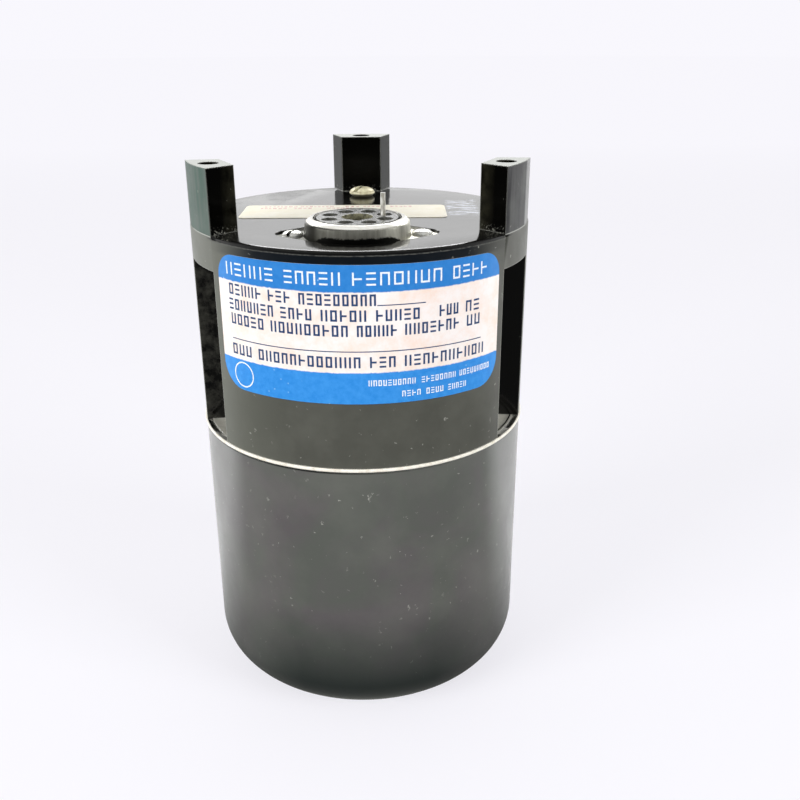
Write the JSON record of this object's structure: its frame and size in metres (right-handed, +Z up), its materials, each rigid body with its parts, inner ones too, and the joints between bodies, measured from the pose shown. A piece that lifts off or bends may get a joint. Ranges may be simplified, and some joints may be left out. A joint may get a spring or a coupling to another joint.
{
  "type": "meter relay control unit",
  "caption": "Round plug-in meter relay control unit: moulded case with three mounting posts and an octal socket, standing in a lift-off can with transformer, relay and board inside.",
  "frame": {"origin": "centre of the can's flat underside, on the surface it stands on", "axes": "+Z up through the case to the posts; the name label faces -Y; the single rear post is at +Y"},
  "size_m": [0.109, 0.109, 0.1778],
  "materials": {
    "moulded_black": "black phenolic moulding, satin with a glossy top",
    "can_finish": "deep-drawn steel, black satin enamel with fine dust and scratches",
    "gasket_cream": "cream fibre gasket",
    "label_blue": "printed label, blue bands on a cream field, varnished",
    "label_cream": "cream paper label",
    "nickel_sheet": "drawn sheet, dull nickel plate",
    "socket_phenolic": "grey-black phenolic",
    "contact_brass": "spring brass",
    "zinc_fastener": "bright zinc plate",
    "cream_screw": "yellowed plate, dull",
    "pillar_brass": "turned brass",
    "plated_steel": "yellow-passivated sheet",
    "grommet_rubber": "black rubber",
    "core_iron": "varnished laminations",
    "bobbin_paper": "natural moulded bobbin",
    "winding_tape": "yellow tape over the winding",
    "copper_enamel": "enamelled copper wire",
    "relay_steel": "plated soft iron",
    "arm_bronze": "phosphor bronze",
    "spring_wire": "drawn steel wire",
    "block_phenolic": "brown phenolic",
    "board_laminate": "tan paper laminate",
    "capacitor_sleeve": "blue shrink sleeve",
    "dipped_film": "orange dipped coat",
    "resistor_body": "brown carbon body with colour bands",
    "diode_body": "black body with a pale band",
    "can_metal": "nickel-plated can",
    "trimmer_body": "blue moulding",
    "trimmer_disc": "slotted disc",
    "wire_cover": "plastic-covered hook-up wire"
  },
  "bodies": {
    "can": {"cover_can": "can_finish"},
    "unit": {"upper_case": "moulded_black", "rim_gasket": "gasket_cream", "name_label": "label_blue", "top_label": "label_cream", "socket_saddle": "nickel_sheet", "socket_insulator": "socket_phenolic", "socket_contacts": "contact_brass", "standing_pin": "nickel_sheet", "socket_screws": "zinc_fastener", "socket_nuts": "zinc_fastener", "chassis_screw": "cream_screw", "chassis_pillar": "pillar_brass", "pillar_screw": "zinc_fastener", "chassis_plate": "plated_steel", "plate_screws": "zinc_fastener", "wire_grommet": "grommet_rubber", "transformer_core": "core_iron", "transformer_bobbin": "bobbin_paper", "primary_winding": "winding_tape", "secondary_winding": "copper_enamel", "transformer_strap": "plated_steel", "strap_screws": "zinc_fastener", "relay_yoke": "relay_steel", "relay_pole": "relay_steel", "relay_bobbin": "bobbin_paper", "relay_winding": "copper_enamel", "return_spring": "spring_wire", "contact_block": "block_phenolic", "open_contact": "contact_brass", "closed_contact": "contact_brass", "relay_screws": "zinc_fastener", "circuit_board": "board_laminate", "board_standoffs": "pillar_brass", "board_screws": "zinc_fastener", "smoothing_capacitor": "capacitor_sleeve", "film_capacitors": "dipped_film", "resistors": "resistor_body", "diodes": "diode_body", "transistors": "can_metal", "trimmer": "trimmer_body", "trimmer_screw": "trimmer_disc", "socket_wires": "wire_cover", "board_wires": "wire_cover"},
    "armature": {"relay_armature": "relay_steel", "contact_arm": "arm_bronze"}
  },
  "joints": [
    {"name": "unit_lift", "type": "slide", "parent": "can", "child": "unit", "axis": [0, 0, 1], "range_m": [0, 0.08]},
    {"name": "armature_rock", "type": "hinge", "parent": "unit", "child": "armature", "pos_m": [0.0365, 0, 0.0548], "axis": [0, 1, 0], "range_deg": [0, 5], "stiffness_Nm_per_rad": 0.02, "springref_deg": -17.19, "deforming": ["return_spring"]}
  ]
}
